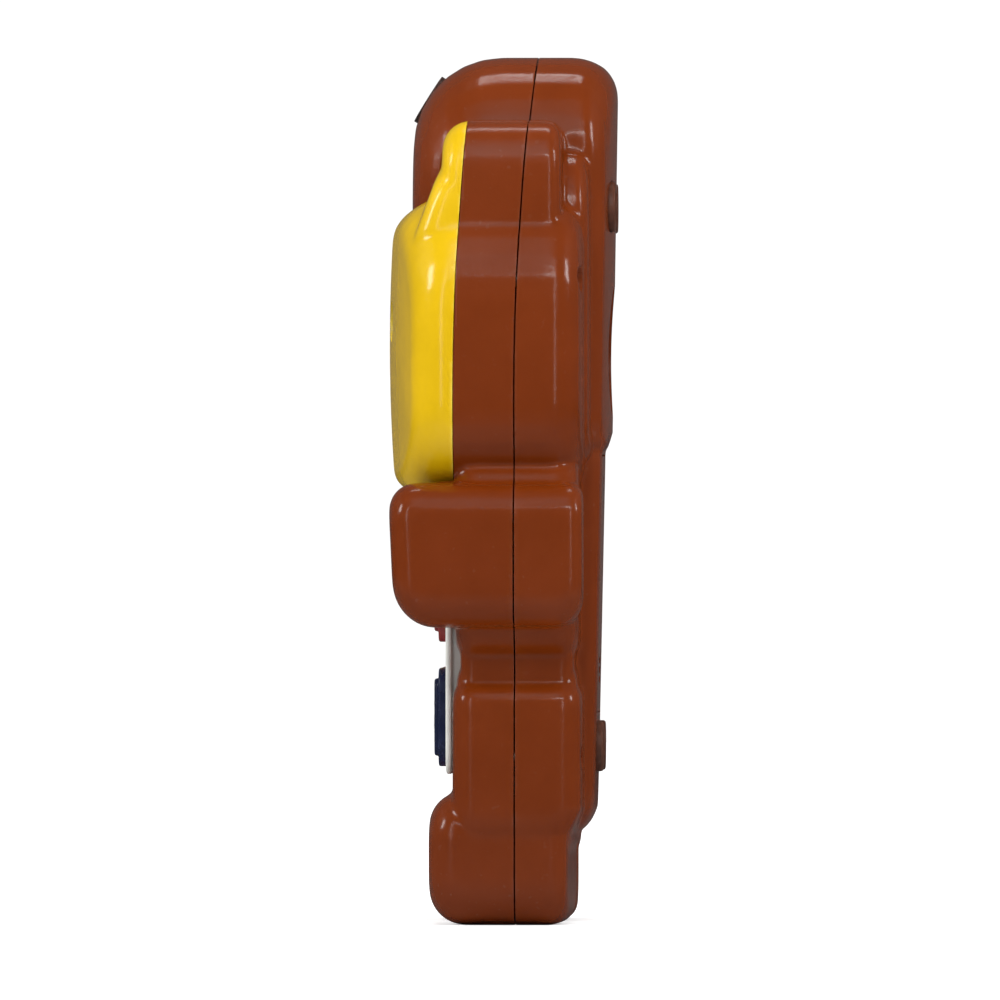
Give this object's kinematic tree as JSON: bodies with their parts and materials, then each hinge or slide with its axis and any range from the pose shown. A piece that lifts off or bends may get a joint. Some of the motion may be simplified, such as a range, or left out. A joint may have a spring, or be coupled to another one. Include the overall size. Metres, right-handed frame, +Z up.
{
  "type": "toy phone",
  "caption": "Chunky toy phone shaped as a sitting animal: two-part housing, domed face cover, belly keys, back speaker, battery bay.",
  "frame": {"origin": "middle of the overall footprint, on the plane of the soles", "axes": "+Z up from the soles to the crown, -Y out of the face and keys, +Y out of the back, +X to the toy's left hand (the near side in the picture)"},
  "size_m": [0.1, 0.0474, 0.18],
  "materials": {
    "brown_plastic": "glossy moulded rust-brown plastic",
    "yellow_plastic": "glossy moulded yellow plastic",
    "white_plastic": "satin white plastic",
    "blue_plastic": "satin blue plastic",
    "red_plastic": "satin dark red plastic",
    "dark_plastic": "matte dark brown plastic",
    "grey_plastic": "matte grey plastic",
    "black_plastic": "glossy black plastic",
    "dark_rubber": "matte dark brown rubber",
    "silicone": "translucent grey silicone rubber",
    "circuit_board": "green lacquered laminate",
    "plated_steel": "zinc-plated steel",
    "nickel": "nickel-plated spring steel",
    "cell_can": "bare cell can",
    "magnet": "coated magnet",
    "speaker_paper": "matte black paper cone"
  },
  "bodies": {
    "housing": {"front_shell": "brown_plastic", "back_shell": "brown_plastic", "speaker_grille": "brown_plastic", "face_cover": "yellow_plastic", "key_plate": "white_plastic", "eye_left": "black_plastic", "eye_right": "black_plastic", "nose": "black_plastic", "earpiece_ring": "dark_plastic", "earpiece_grille": "grey_plastic", "switch_body": "grey_plastic", "key_mat": "silicone", "main_board": "circuit_board", "controller_blob": "black_plastic", "speaker_frame": "plated_steel", "speaker_magnet": "magnet", "speaker_cone": "speaker_paper", "contact_bridge": "nickel", "contact_tab_1": "nickel", "contact_tab_2": "nickel", "contact_spring_1": "nickel", "contact_spring_2": "nickel", "battery_1": "cell_can", "battery_2": "cell_can", "pad_upper_left": "dark_rubber", "pad_upper_right": "dark_rubber", "pad_lower_left": "dark_rubber", "pad_lower_right": "dark_rubber", "case_screw_1": "plated_steel", "case_screw_2": "plated_steel", "case_screw_3": "plated_steel", "case_screw_4": "plated_steel", "case_screw_5": "plated_steel", "case_screw_6": "plated_steel", "board_screw_1": "plated_steel", "board_screw_2": "plated_steel", "board_screw_3": "plated_steel", "board_screw_4": "plated_steel"},
    "key_1_body": {"key_1": "blue_plastic"},
    "key_2_body": {"key_2": "yellow_plastic"},
    "key_3_body": {"key_3": "red_plastic"},
    "key_4_body": {"key_4": "yellow_plastic"},
    "key_5_body": {"key_5": "red_plastic"},
    "key_6_body": {"key_6": "blue_plastic"},
    "door_body": {"battery_door": "brown_plastic"},
    "door_screw_body": {"door_screw": "plated_steel"},
    "switch_body_moving": {"switch_knob": "black_plastic"}
  },
  "joints": [
    {"name": "key_1_press", "type": "slide", "parent": "housing", "child": "key_1_body", "axis": [0, 1, 0], "range_m": [0, 0.0015], "stiffness_N_per_m": 400},
    {"name": "key_2_press", "type": "slide", "parent": "housing", "child": "key_2_body", "axis": [0, 1, 0], "range_m": [0, 0.0015], "stiffness_N_per_m": 400},
    {"name": "key_3_press", "type": "slide", "parent": "housing", "child": "key_3_body", "axis": [0, 1, 0], "range_m": [0, 0.0015], "stiffness_N_per_m": 400},
    {"name": "key_4_press", "type": "slide", "parent": "housing", "child": "key_4_body", "axis": [0, 1, 0], "range_m": [0, 0.0015], "stiffness_N_per_m": 400},
    {"name": "key_5_press", "type": "slide", "parent": "housing", "child": "key_5_body", "axis": [0, 1, 0], "range_m": [0, 0.0015], "stiffness_N_per_m": 400},
    {"name": "key_6_press", "type": "slide", "parent": "housing", "child": "key_6_body", "axis": [0, 1, 0], "range_m": [0, 0.0015], "stiffness_N_per_m": 400},
    {"name": "battery_door_lift", "type": "slide", "parent": "housing", "child": "door_body", "axis": [0, 1, 0], "range_m": [0, 0.03]},
    {"name": "door_screw_turn", "type": "hinge", "parent": "door_body", "child": "door_screw_body", "pos_m": [0, 0.01953, 0.09], "axis": [0, 1, 0], "continuous": true},
    {"name": "power_switch_slide", "type": "slide", "parent": "housing", "child": "switch_body_moving", "axis": [1, 0, 0], "range_m": [0, 0.004]}
  ]
}
